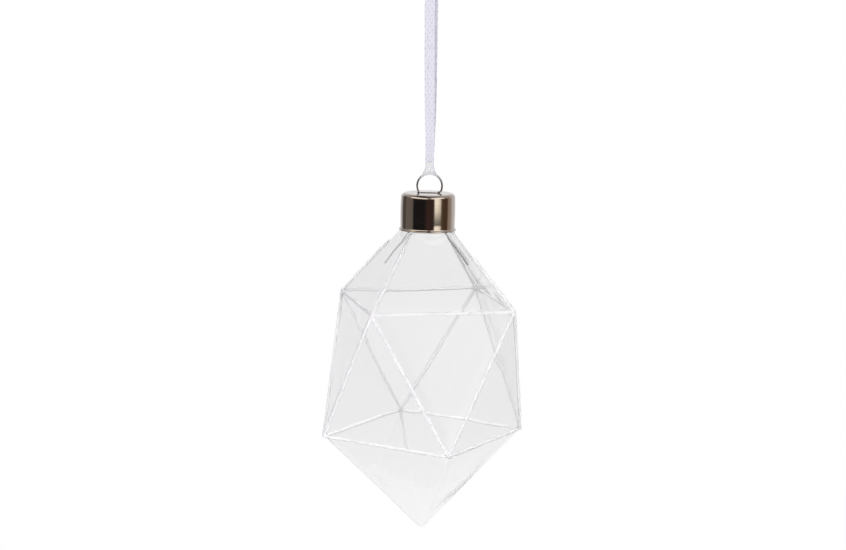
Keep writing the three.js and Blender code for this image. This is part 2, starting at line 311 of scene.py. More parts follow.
class GlitterSettings(bpy.types.PropertyGroup):
    """Sizes and colours of the glitter lines."""

    half_width: length("Half width", "Half the width of a line", 0.68 * MM)
    height: length("Height", "Height of the bead of glue", 0.45 * MM)
    flake: length("Flake", "Radius of one glitter flake", 0.13 * MM)
    density: FloatProperty(name="Density", description="Flakes on a millimetre of line", default=34.0, min=0)
    crumbs: IntProperty(name="Crumbs", description="Stray flakes on the glass", default=110, min=0)
    glue: colour("Glue", "Colour of the set glue", (0.995, 0.99, 1.0))
    flake_light: colour("Flake light", "Colour of the brightest flakes", (0.98, 0.97, 1.0))
    flake_dark: colour("Flake dark", "Colour of the darkest flakes", (0.34, 0.33, 0.37))


class StageSettings(bpy.types.PropertyGroup):
    """Camera, floor and light."""

    distance: length("Camera distance", "Camera to the ornament's axis", 707.2 * MM)
    pitch: angle("Camera pitch", "How far the camera looks down", 9.263)
    roll: angle("Camera roll", "Turn of the camera about its own axis", 1.187)
    aim: length("Aim", "Level of the axis that the camera looks at", -104.27 * MM)
    aside: length("Aside", "How far the camera stands to the side", -1.28 * MM)
    lens: FloatProperty(name="Lens", description="Focal length on a 36 mm sensor", default=82.53)
    floor_level: length("Floor level", "Level of the floor", -480 * MM)
    floor: colour("Floor", "Colour of the floor", (0.92, 0.92, 0.92))


SETTINGS = {
    "ornament_glass": GlassSettings,
    "ornament_cap": CapSettings,
    "ornament_ribbon": RibbonSettings,
    "ornament_glitter": GlitterSettings,
    "ornament_stage": StageSettings,
}


# ---- Materials ----


class Nodes:
    """A node tree, with short ways to add and join its nodes."""

    def __init__(self, tree):
        self.tree = tree

    def node(self, kind, **values):
        made = self.tree.nodes.new(kind)
        for key, value in values.items():
            setattr(made, key, value)
        return made

    def link(self, source, target):
        self.tree.links.new(source, target)

    def maths(self, operation, first, second=0.0):
        made = self.node("ShaderNodeMath", operation=operation)
        for socket, value in zip(made.inputs, (first, second)):
            if isinstance(value, (int, float)):
                socket.default_value = value
            else:
                self.link(value, socket)
        return made.outputs["Value"]

    def rescale(self, source, start, end, top=1.0):
        """Maps start to 0 and end to top."""
        made = self.node("ShaderNodeMapRange")
        made.inputs["From Min"].default_value = start
        made.inputs["From Max"].default_value = end
        made.inputs["To Max"].default_value = top
        self.link(source, made.inputs["Value"])
        return made.outputs["Result"]

    def ramp(self, source, *stops, interpolation="LINEAR"):
        made = self.node("ShaderNodeValToRGB")
        made.color_ramp.interpolation = interpolation
        elements = made.color_ramp.elements
        while len(elements) < len(stops):
            elements.new(0.5)
        for element, (position, tone) in zip(elements, stops):
            element.position = position
            element.color = (*tone, 1.0)
        self.link(source, made.inputs["Fac"])
        return made.outputs["Color"]

    def choose(self, factor, first, second):
        made = self.node("ShaderNodeMixShader")
        for source, target in zip((factor, first, second), made.inputs):
            self.link(source, target)
        return made.outputs["Shader"]


class Shader(Nodes):
    """A material's nodes, round its principled surface."""

    def __init__(self, name):
        self.material = bpy.data.materials.new(name)
        self.material.use_nodes = True
        super().__init__(self.material.node_tree)
        self.surface = self.tree.nodes["Principled BSDF"]

    def set(self, **values):
        for key, value in values.items():
            self.surface.inputs[key.replace("_", " ")].default_value = value

    def coordinates(self, kind="Object"):
        return self.node("ShaderNodeTexCoord").outputs[kind]

    def mapped(self, source, scale, rotation=(0, 0, 0)):
        mapping = self.node("ShaderNodeMapping")
        mapping.inputs["Scale"].default_value = scale
        mapping.inputs["Rotation"].default_value = rotation
        self.link(source, mapping.inputs["Vector"])
        return mapping.outputs["Vector"]

    def noise(self, vector, scale, detail=3.0):
        texture = self.node("ShaderNodeTexNoise")
        texture.inputs["Scale"].default_value = scale
        texture.inputs["Detail"].default_value = detail
        self.link(vector, texture.inputs["Vector"])
        return texture.outputs["Fac"]

    def finish(self, factor, first, second):
        """Ends the material on a mix of two shaders."""
        output = self.tree.nodes["Material Output"]
        self.link(self.choose(factor, first, second), output.inputs["Surface"])

    def bump(self, height, strength, distance):
        bump = self.node("ShaderNodeBump")
        bump.inputs["Strength"].default_value = strength
        bump.inputs["Distance"].default_value = distance
        self.link(height, bump.inputs["Height"])
        self.link(bump.outputs["Normal"], self.surface.inputs["Normal"])


def glass_material(settings):
    """Clear blown glass with slow waves: darker on turned faces as painted shade, paler at its outline and toward the
    tip as painted light.
    """
    shader = Shader("clear_blown_glass")
    shader.set(Roughness=0.0, IOR=1.4, Transmission_Weight=1.0)
    facing = shader.node("ShaderNodeLayerWeight")
    facing.inputs["Blend"].default_value = 0.5
    # Painted shade and painted light by facing: turned faces are darkened, and the outline seen edge-on is made paler.
    tint = shader.ramp(
        facing.outputs["Facing"],
        (0.05, settings.tint),
        (0.15, [0.98 * channel for channel in settings.tint]),
        (0.45, [0.985 * channel for channel in settings.tint]),
        (0.72, [0.82 * channel for channel in settings.tint]),
        (0.88, settings.tint),
        (1.0, settings.rim_painted_light),
    )
    # Painted light: toward the tip the glass colour is mixed up to half way toward white.
    split = shader.node("ShaderNodeSeparateXYZ")
    shader.link(shader.coordinates(), split.inputs["Vector"])
    level = shader.rescale(split.outputs["Z"], -0.155, -0.195, 0.5)
    painted_tip_light = shader.node("ShaderNodeMix", data_type="RGBA")
    painted_tip_light.inputs["B"].default_value = (1.0, 1.0, 1.0, 1.0)
    shader.link(level, painted_tip_light.inputs["Factor"])
    shader.link(tint, painted_tip_light.inputs["A"])
    shader.link(painted_tip_light.outputs["Result"], shader.surface.inputs["Base Color"])
    waves = shader.noise(shader.coordinates(), 110.0, detail=2.0)
    shader.bump(waves, 0.12, 0.0002)
    path = shader.node("ShaderNodeLightPath")
    clear = shader.node("ShaderNodeBsdfTransparent")
    clear.inputs["Color"].default_value = (1.0, 1.0, 1.0, 1.0)
    shader.finish(path.outputs["Is Shadow Ray"], shader.surface.outputs["BSDF"], clear.outputs["BSDF"])
    return shader.material


def plating_material(settings):
    """Dark chrome plate with a brownish cast, faint streaks and fine scratches."""
    shader = Shader("dark_chrome_plate")
    shader.set(Metallic=1.0, IOR=2.0)
    streaks = shader.noise(shader.mapped(shader.coordinates(), (1.0, 1.0, 0.12)), 420.0, detail=4.0)
    deep = [0.82 * channel for channel in settings.plating]
    shader.link(
        shader.ramp(streaks, (0.3, deep), (0.7, settings.plating)),
        shader.surface.inputs["Base Color"],
    )
    clouds = shader.noise(shader.coordinates(), 260.0, detail=5.0)
    rough = shader.ramp(clouds, (0.25, (0.07, 0.07, 0.07)), (0.8, (0.17, 0.17, 0.17)))
    shader.link(rough, shader.surface.inputs["Roughness"])
    scratches = shader.noise(shader.mapped(shader.coordinates(), (1.0, 1.0, 0.05)), 2400.0, detail=2.0)
    shader.bump(scratches, 0.06, 0.00005)
    return shader.material


def slot_shade_material():
    """Painted shade: a near-black, slightly mottled sheet on the faces at the cut of the slot."""
    shader = Shader("painted_slot_shade")
    shader.set(Metallic=0.4, Roughness=0.55)
    shade_mottle = shader.noise(shader.coordinates(), 1500.0, detail=3.0)
    shader.link(
        shader.ramp(shade_mottle, (0.3, (0.022, 0.013, 0.010)), (0.7, (0.045, 0.028, 0.020))),
        shader.surface.inputs["Base Color"],
    )
    return shader.material


def steel_material(settings):
    """Drawn spring wire with a dull plate."""
    shader = Shader("drawn_spring_wire")
    shader.set(Metallic=1.0, Roughness=0.28)
    dull = shader.noise(shader.coordinates(), 900.0, detail=4.0)
    pale = [min(1.0, 1.6 * channel) for channel in settings.steel]
    shader.link(shader.ramp(dull, (0.3, settings.steel), (0.75, pale)), shader.surface.inputs["Base Color"])
    shader.bump(dull, 0.05, 0.00004)
    return shader.material


def ribbon_material(settings):
    """Narrow white ribbon: a diamond mesh of yarns over a close ground, read along its own UV map."""
    shader = Shader("woven_white_ribbon")
    shader.set(Roughness=0.62, Sheen_Weight=0.35, Sheen_Roughness=0.4, Specular_IOR_Level=0.35)
    uv = shader.coordinates("UV")
    pitch = settings.mesh_pitch
    one_way = shader.node("ShaderNodeTexWave", wave_type="BANDS", bands_direction="X")
    other_way = shader.node("ShaderNodeTexWave", wave_type="BANDS", bands_direction="X")
    cross = 1.0 / pitch
    for wave, turn in ((one_way, math.radians(34)), (other_way, math.radians(-34))):
        wave.inputs["Scale"].default_value = 0.32
        wave.inputs["Distortion"].default_value = 0.4
        wave.inputs["Detail"].default_value = 1.0
        shader.link(shader.mapped(uv, (cross, cross, cross), (0, 0, turn)), wave.inputs["Vector"])
    lattice = shader.maths("MULTIPLY", one_way.outputs["Fac"], other_way.outputs["Fac"])
    yarn = shader.node("ShaderNodeTexWave", wave_type="BANDS", bands_direction="Y")
    yarn.inputs["Scale"].default_value = 1300.0
    yarn.inputs["Distortion"].default_value = 0.6
    shader.link(uv, yarn.inputs["Vector"])
    ground = shader.maths("MULTIPLY", yarn.outputs["Fac"], 0.3)
    height = shader.maths("SUBTRACT", 1.0, lattice)
    woven = shader.maths("ADD", height, ground)
    tone = shader.ramp(height, (0.15, settings.shade), (0.75, settings.light))
    shader.link(tone, shader.surface.inputs["Base Color"])
    shader.bump(woven, 0.5, 0.00008)
    return shader.material


def sheer_material(settings):
    """The same ribbon where it is pulled wide and sheer: open in the middle, close at its two edges."""
    shader = Shader("sheer_white_ribbon")
    shader.set(Roughness=0.6, Specular_IOR_Level=0.3)
    split = shader.node("ShaderNodeSeparateXYZ")
    shader.link(shader.coordinates("UV"), split.inputs["Vector"])
    off_middle = shader.maths("ABSOLUTE", shader.maths("DIVIDE", split.outputs["X"], settings.fold_width))
    shader.link(
        shader.ramp(
            off_middle,
            (0.2, (0.72, 0.715, 0.75)),
            (0.42, (0.62, 0.61, 0.68)),
            (0.5, [0.8 * channel for channel in settings.shade]),
        ),
        shader.surface.inputs["Base Color"],
    )
    closeness = shader.ramp(
        off_middle,
        (0.0, (0.62, 0.62, 0.62)),
        (0.3, (0.45, 0.45, 0.45)),
        (0.4, (0.5, 0.5, 0.5)),
        (0.47, (1.0, 1.0, 1.0)),
    )
    along = shader.maths("SUBTRACT", shader.maths("DIVIDE", split.outputs["Y"], settings.fold_run), 0.5)
    wrapped = shader.ramp(
        shader.maths("ABSOLUTE", along),
        (0.16, (1.0, 1.0, 1.0)),
        (0.26, (0.0, 0.0, 0.0)),
    )
    closeness = shader.maths("MAXIMUM", closeness, wrapped)
    shader.link(closeness, shader.surface.inputs["Alpha"])
    return shader.material


def glue_material(settings):
    """Set glitter glue: whitish, slightly clear and grainy."""
    shader = Shader("set_glitter_glue")
    shader.set(Roughness=0.6, Specular_IOR_Level=0.2, Subsurface_Weight=0.5, Subsurface_Scale=0.0008)
    shader.surface.inputs["Subsurface Radius"].default_value = (1.0, 1.0, 1.0)
    grain = shader.noise(shader.coordinates(), 5200.0, detail=2.0)
    dull = [0.96 * channel for channel in settings.glue]
    shader.link(shader.ramp(grain, (0.35, dull), (0.65, settings.glue)), shader.surface.inputs["Base Color"])
    shader.bump(grain, 0.6, 0.00006)
    return shader.material


def flake_material(settings):
    """Glitter flakes: each takes its brightness from its own tone."""
    shader = Shader("silver_white_flakes")
    shader.set(Roughness=0.35, Specular_IOR_Level=0.4)
    tone = shader.node("ShaderNodeAttribute", attribute_name="tone").outputs["Fac"]
    colour_of_flake = shader.ramp(
        tone,
        (0.035, settings.flake_dark),
        (0.06, (0.84, 0.83, 0.90)),
        (0.4, settings.flake_light),
        (0.92, (1.0, 0.94, 0.98)),
        (1.0, (0.90, 0.95, 1.0)),
    )
    shader.link(colour_of_flake, shader.surface.inputs["Base Color"])
    return shader.material


# ---- Mesh helpers ----


def add_object(name, bm, *materials):
    """A finished piece from a bmesh, at the origin."""
    mesh = bpy.data.meshes.new(name)
    bm.to_mesh(mesh)
    bm.free()
    for material in materials:
        mesh.materials.append(material)
    piece = bpy.data.objects.new(name, mesh)
    bpy.context.scene.collection.objects.link(piece)
    return piece


def smooth_shade(bm, sharp_degrees=40.0):
    """Smooth faces, with each edge that folds more than the limit left sharp."""
    for face in bm.faces:
        face.smooth = True
    limit = math.radians(sharp_degrees)
    for edge in bm.edges:
        edge.smooth = len(edge.link_faces) == 2 and edge.calc_face_angle(0.0) < limit


def start_ring(bm, segments, place):
    """A ring of vertices and edges; place(index) gives each its position."""
    made = bmesh.ops.create_circle(bm, cap_ends=False, radius=1.0, segments=segments)
    verts = made["verts"]
    for index, vert in enumerate(verts):
        vert.co = place(index)
    return verts


def ring_edges(bm, verts):
    """The edges round a ring of vertices."""
    return [bm.edges.get((vert, verts[(i + 1) % len(verts)])) for i, vert in enumerate(verts)]


def extrude_ring(bm, verts, place):
    """Extrudes a ring by one step; place(index) gives each new vertex its position."""
    made = bmesh.ops.extrude_edge_only(bm, edges=ring_edges(bm, verts))["geom"]
    fresh = {element for element in made if isinstance(element, bmesh.types.BMVert)}
    ring = []
    for vert in verts:
        ring.append(next(e.other_vert(vert) for e in vert.link_edges if e.other_vert(vert) in fresh))
    for index, vert in enumerate(ring):
        vert.co = place(index)
    return ring


def close_ring(bm, verts):
    """Fills the ring with a face."""
    bmesh.ops.edgeloop_fill(bm, edges=ring_edges(bm, verts))


def smoothstep(value):
    value = min(1.0, max(0.0, value))
    return value * value * (3.0 - 2.0 * value)


def mix(first, second, share):
    return first + (second - first) * share


def point_on(route, share):
    """The point at a share of a route's length, on a smooth curve through its points."""
    position = share * (len(route) - 1)
    index = min(int(position), len(route) - 2)
    local = position - index
    before = Vector(route[max(index - 1, 0)])
    start = Vector(route[index])
    end = Vector(route[index + 1])
    after = Vector(route[min(index + 2, len(route) - 1)])
    return 0.5 * (
        2.0 * start
        + (end - before) * local
        + (2.0 * before - 5.0 * start + 4.0 * end - after) * local**2
        + (3.0 * start - before - 3.0 * end + after) * local**3
    )


def route_length(route):
    return sum((Vector(b) - Vector(a)).length for a, b in zip(route, route[1:]))


def cloth_strip(name, across, along, place, thickness, unrolled, material):
    """A strip of cloth: a grid bent by place(u, v), given UVs in metres and a thickness."""
    bm = bmesh.new()
    bmesh.ops.create_grid(bm, x_segments=across, y_segments=along, size=0.5)
    uv_layer = bm.loops.layers.uv.new("UVMap")
    width, run = unrolled
    shares = {vert: (vert.co.x, vert.co.y + 0.5) for vert in bm.verts}
    for face in bm.faces:
        for loop in face.loops:
            u, v = shares[loop.vert]
            loop[uv_layer].uv = (u * width, v * run)
    for vert, (u, v) in shares.items():
        vert.co = place(u, v)
    if thickness:
        bmesh.ops.solidify(bm, geom=bm.faces[:], thickness=thickness)
    bmesh.ops.recalc_face_normals(bm, faces=bm.faces[:])
    smooth_shade(bm, 60.0)
    return add_object(name, bm, material)


# ---- Ribbon ----


def strand(name, route, side, settings, material):
    """One hanging strand: a woven strip that gathers and gutters as it nears the eye."""
    top = Vector(route[-1])
    drawn = [*route, top + Vector((-0.4 * top.x, -0.4 * top.y, 1.6 * MM))]

    def place(u, v):
        centre = point_on(drawn, v)
        gathered = 1.0 - smoothstep(v / 0.42)
        width = mix(settings.width, settings.pinched_width, gathered)
        width *= mix(1.0, 0.72, smoothstep((v - 0.93) / 0.07))
        crown = mix(0.10, 0.34, gathered) * MM * (1.0 - 4.0 * u * u)
        pleat = 0.07 * MM * math.cos(u * 4.0 * math.pi) * mix(0.35, 1.0, gathered)
        drift = noise.noise(Vector((u * 1.5 + side, v * 7.0, 3.0))) * 0.10 * MM
        edge = noise.noise(Vector((side * 4.0, v * 40.0, u * 2.0))) * 0.05 * MM
        outward = side * (0.06 * MM + crown + pleat + drift)
        return centre + Vector((u * width + edge, outward, 0.0))

    run = route_length(route)
    return cloth_strip(name, 14, 170, place, settings.thickness, (settings.width, run), material)


def build_strands(settings, material):
    """The front and back strands, each a free length of ribbon up to the knot."""
    front = strand("front_ribbon", FRONT_ROUTE, -1.0, settings, material)
    back = strand("back_ribbon", BACK_ROUTE, 1.0, settings, material)
    return front, back


def build_fold(settings, material):
    """The ribbon's spread fold round the crown of the wire eye."""
    cap = bpy.context.scene.ornament_cap
    eye = cap.eye_radius
    crown = EYE_CROWN - 0.4 * MM
    hug = cap.wire / 2 + 0.16 * MM
    wrapped = 0.34

    def place(u, v):
        span = abs(2.0 * v - 1.0)
        side = -1.0 if v < 0.5 else 1.0
        x_crown = u * settings.fold_width
        wire = crown - (eye - math.sqrt(eye**2 - (x_crown - cap.eye_shift) ** 2))
        if span < wrapped:
            turn = span / wrapped * math.pi / 2
            return Vector((x_crown, side * hug * math.sin(turn), wire - hug * math.cos(turn)))
        rise = (span - wrapped) / (1.0 - wrapped)
        x = mix(x_crown, u * 0.94 * settings.pinched_width + 0.3 * MM, min(1.0, rise / 0.62) ** 0.8)
        pleat = 0.16 * MM * math.cos(u * 6.0 * math.pi) * math.sin(math.pi * rise)
        y = side * (mix(hug, 0.46 * MM, rise) + pleat)
        return Vector((x, y, mix(wire, FOLD_TOP + 0.25 * MM, rise)))

    cloth = (settings.fold_width, settings.fold_run)
    return cloth_strip("ribbon_eye_fold", 20, 64, place, 0.0, cloth, material)


def build_knot(settings, material):
    """An overhand knot drawn tight, with two cut tails."""
    middle = Vector((0.0, 0.0, 2.95 * MM))
    steps = 96
    section = 14
    bm = bmesh.new()

    def heart(turn):
        x = math.sin(turn) + 2.0 * math.sin(2.0 * turn)
        z = math.cos(turn) - 2.0 * math.cos(2.0 * turn)
        y = -math.sin(3.0 * turn)
        return middle + Vector((x * 0.72, y * 0.95, z * 0.72)) * MM

    def place_on(step):
        turn = 2.0 * math.pi * step / steps
        centre = heart(turn)
        forward = (heart(turn + 0.02) - heart(turn - 0.02)).normalized()
        outward = (centre - middle).normalized()
        sideways = forward.cross(outward).normalized()
        outward = sideways.cross(forward)

        def place(index):
            around = 2.0 * math.pi * index / section
            crease = 1.0 + 0.10 * math.cos(5.0 * around + 2.0 * turn)
            return centre + (
                sideways * (math.cos(around) * 1.05 * MM) + outward * (math.sin(around) * 0.62 * MM)
            ) * crease

        return place

    first = start_ring(bm, section, place_on(0))
    ring = first
    for step in range(1, steps):
        ring = extrude_ring(bm, ring, place_on(step))
    bmesh.ops.bridge_loops(bm, edges=ring_edges(bm, first) + ring_edges(bm, ring))
    bmesh.ops.recalc_face_normals(bm, faces=bm.faces[:])
    uv_layer = bm.loops.layers.uv.new("UVMap")
    for face in bm.faces:
        for loop in face.loops:
            loop[uv_layer].uv = (loop.vert.co.x + loop.vert.co.y, loop.vert.co.z)
    smooth_shade(bm, 75.0)
    knot = add_object("tied_ribbon_knot", bm, material)

    tails = []
    for side, reach in ((-1.0, 9.2 * MM), (1.0, 8.4 * MM)):
        lean = math.radians(19.0) * side

        def place(u, v, side=side, reach=reach, lean=lean):
            notch = 1.0 * MM * (1.0 - abs(2.0 * u)) * smoothstep((v - 0.8) / 0.2)
            up = v * reach - notch
            curl = side * -0.5 * MM + 0.5 * MM * math.sin(v * 3.0 + side) + 0.18 * MM * math.cos(u * 6.0)
            width = mix(2.6 * MM, settings.width, smoothstep(v * 2.0))
            return middle + Vector(
                (
                    math.sin(lean) * up + u * width * math.cos(lean),
                    curl,
                    math.cos(lean) * up - u * width * math.sin(lean),
                )
            )

        name = "left_ribbon_tail" if side < 0 else "right_ribbon_tail"
        tails.append(cloth_strip(name, 10, 30, place, settings.thickness, (settings.width, reach), material))
    return knot, tails


class ORNAMENT_OT_ribbon(bpy.types.Operator):
    """Build the ribbon: two strands, the fold in the eye, and the knot with its tails"""

    bl_idname = "ornament.ribbon"
    bl_label = "Ribbon"

    def execute(self, context):
        settings = context.scene.ornament_ribbon
        material = ribbon_material(settings)
        front, back = build_strands(settings, material)
        fold = build_fold(settings, sheer_material(settings))
        knot, tails = build_knot(settings, material)
        for piece in (front, back, fold, knot, *tails):
            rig.slot(piece, "satin_ribbon")
        twist_start, twist_end = (0.0, 0.0, -4 * MM), (0.0, 0.0, FOLD_TOP)
        for piece, node in ((front, "ribbon_front_strand"), (back, "ribbon_back_strand")):
            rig.replaces(piece, node)
            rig.blend(piece, "ribbon", "ribbon_loop", start=twist_start, end=twist_end)
        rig.replaces(fold, "ribbon_fold")
        crown = (0.0, 0.0, EYE_CROWN)
        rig.blend(fold, "ribbon_loop", "hanger", start=(0.0, 0.0, FOLD_TOP - 0.4 * MM), end=crown)
        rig.replaces(knot, "ribbon_knot")
        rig.ride(knot, "ribbon")
        for tail in tails:
            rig.ride(tail, "ribbon")
        for piece, route in ((front, FRONT_ROUTE), (back, BACK_ROUTE)):
            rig.cord(
                piece,
                exit=route[0],
                length=route_length(route),
                diameter=settings.width,
                far_end="knot",
                stiffness="limp",
                lay="taut",
                path=route,
                with_pieces=[knot, fold, *tails],
            )
        return {"FINISHED"}


# ---- Wire clip ----


class ORNAMENT_OT_clip(bpy.types.Operator):
    """Build the sprung wire clip with its round eye and two legs"""

    bl_idname = "ornament.clip"
    bl_label = "Wire clip"

    def execute(self, context):
        settings = context.scene.ornament_cap
        eye = settings.eye_radius
        centre = EYE_CROWN - 0.4 * MM - eye
        leg = [
            (settings.leg_spread, CAP_TOP - settings.leg_reach),
            (11.6 * MM, CAP_TOP - 21.6 * MM),
            (7.25 * MM, CAP_TOP - 15.75 * MM),
            (5.0 * MM, CAP_TOP - 9.0 * MM),
            (3.35 * MM, CAP_TOP - 3.4 * MM),
            (2.95 * MM, CAP_TOP - 1.2 * MM),
            (3.25 * MM, CAP_TOP - 0.1 * MM),
        ]
        arc = []
        for step in range(13):
            turn = math.radians(-24.0 + step * 19.0)
            arc.append((settings.eye_shift + eye * math.cos(turn), centre + eye * math.sin(turn)))
        points = [*leg, *arc, *[(-x, z) for x, z in reversed(leg)]]
        curve = bpy.data.curves.new("clip_wire", "CURVE")
        curve.dimensions = "3D"
        curve.bevel_depth = settings.wire / 2
        curve.bevel_resolution = 4
        curve.resolution_u = 6
        curve.use_fill_caps = True
        spline = curve.splines.new("BEZIER")
        spline.bezier_points.add(len(points) - 1)
        for bezier, (x, z) in zip(spline.bezier_points, points):
            bezier.co = (x, 0.0, z)
            bezier.handle_left_type = "AUTO"
            bezier.handle_right_type = "AUTO"
        drawn = bpy.data.objects.new("clip_wire", curve)
        context.scene.collection.objects.link(drawn)
        context.view_layer.update()
        bm = bmesh.new()
        bm.from_mesh(drawn.to_mesh())
        bpy.data.objects.remove(drawn)
        bpy.data.curves.remove(curve)
        bmesh.ops.remove_doubles(bm, verts=bm.verts[:], dist=0.001 * MM)
        bmesh.ops.recalc_face_normals(bm, faces=bm.faces[:])
        smooth_shade(bm, 50.0)
        piece = add_object("sprung_wire_clip", bm, steel_material(settings))
        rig.slot(piece, "steel_wire")
        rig.replaces(piece, "hanger_clip")
        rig.ride(piece, "hanger")
        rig.squash(piece, "glass_pull_off", axis=(1, 0, 0), anchor=(0, 0, 0), keep=0.48)
        return {"FINISHED"}


# ---- Cap ----


class ORNAMENT_OT_cap(bpy.types.Operator):
    """Build the push-on cap: a drawn shell with a rounded shoulder, a flared lip and a slot"""

    bl_idname = "ornament.cap"
    bl_label = "Cap"

    def execute(self, context):
        settings = context.scene.ornament_cap
        segments = settings.segments
        bm = bmesh.new()

        def round_at(radius, level):
            def place(index):
                turn = 2.0 * math.pi * index / segments
                return Vector((radius * math.cos(turn), radius * math.sin(turn), level))

            return place

        half_width = settings.slot_width / 2
        half_straight = settings.slot_length / 2 - half_width

        def slot_at(grow, level):
            def place(index):
                turn = 2.0 * math.pi * index / segments
                x = math.cos(turn) * (half_width + grow)
                y = math.sin(turn) * (half_width + grow)
                return Vector((x + half_straight * max(-1.0, min(1.0, 2.5 * math.cos(turn))), y, level))

            return place

        fillet_radius = settings.radius - settings.fillet
        fillet_level = CAP_TOP - settings.fillet
        lip_top = CAP_BOTTOM + settings.lip_height
        stations = []
        for step in range(9):
            turn = math.pi / 2 * (1.0 - step / 8)
            stations.append(
                (fillet_radius + settings.fillet * math.cos(turn), fillet_level + settings.fillet * math.sin(turn))
            )
        for step in range(1, 7):
            barrel = 0.11 * MM * math.sin(math.pi * step / 6)
            stations.append((settings.radius + barrel, mix(fillet_level, lip_top, step / 6)))
        flare = settings.lip_flare
        for out, down in ((0.12, 0.2), (0.38, 0.4), (0.75, 0.58), (0.97, 0.72), (1.0, 0.86), (0.93, 1.0)):
            stations.append((settings.radius + out * flare, lip_top - down * settings.lip_height))
        ring = start_ring(bm, segments, slot_at(0.0, CAP_TOP - 1.8 * MM))
        ring = extrude_ring(bm, ring, slot_at(0.0, CAP_TOP - 0.07 * MM))
        ring = extrude_ring(bm, ring, slot_at(0.07 * MM, CAP_TOP))
        ring = extrude_ring(bm, ring, slot_at(0.25 * MM, CAP_TOP))
        for share in (0.35, 0.7):
            inner, outer = slot_at(0.25 * MM, CAP_TOP), round_at(fillet_radius, CAP_TOP)
            ring = extrude_ring(bm, ring, lambda i, s=share: inner(i).lerp(outer(i), s))
        for radius, level in stations:
            ring = extrude_ring(bm, ring, round_at(radius, level))
        bmesh.ops.recalc_face_normals(bm, faces=bm.faces[:])
        top_face = max(bm.faces, key=lambda face: face.calc_center_median().z)
        if top_face.normal.z < 0:
            bmesh.ops.reverse_faces(bm, faces=bm.faces[:])
        bmesh.ops.solidify(bm, geom=bm.faces[:], thickness=settings.wall)
        # Painted shade: faces at the cut of the slot, below the top, take the near-black second material.
        margin = 0.2 * MM
        for face in bm.faces:
            centre = face.calc_center_median()
            in_length = abs(centre.x) < settings.slot_length / 2 + margin
            in_width = abs(centre.y) < half_width + margin
            below_top = centre.z < CAP_TOP - 0.09 * MM
            face.material_index = int(in_length and in_width and below_top)
        smooth_shade(bm, 50.0)
        piece = add_object("plated_cap", bm, plating_material(settings), slot_shade_material())
        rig.slot(piece, "dark_chrome")
        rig.replaces(piece, "cap")
        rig.ride(piece, "hanger")
        return {"FINISHED"}


# ---- Glass ----


def body_corners(settings):
    """The apex, the tip and the two rings of corners of the faceted body."""
    apex = CAP_TOP - settings.apex_drop
    upper = apex - settings.top_height
    lower = upper - settings.side_height
    tip = lower - settings.bottom_height

    def ring(radius, level, turn):
        corners = []
        for quarter in range(4):
            around = turn + quarter * math.pi / 2
            corners.append(Vector((radius * math.sin(around), -radius * math.cos(around), level)))
        return corners

    return (
        Vector((0.0, 0.0, apex)),
        ring(settings.upper_radius, upper, settings.turn + math.pi / 4),
        ring(settings.lower_radius, lower, settings.turn),
        Vector((0.0, 0.0, tip)),
    )


def facet_hull(bm, settings, top_level):
    """The faceted body as flat faces, open at the top where the neck joins."""
    apex, upper, lower, tip = body_corners(settings)
    share = (apex.z - top_level) / (apex.z - upper[0].z)
    top = [apex.lerp(corner, share) for corner in upper]
    for corner in (*top, *upper, *lower, tip):
        bmesh.ops.create_vert(bm, co=corner)
    bmesh.ops.convex_hull(bm, input=bm.verts[:])
    bmesh.ops.dissolve_limit(bm, angle_limit=math.radians(1.0), verts=bm.verts[:], edges=bm.edges[:])
    lid = max(bm.faces, key=lambda face: face.calc_center_median().z)
    bmesh.ops.delete(bm, geom=[lid], context="FACES_ONLY")


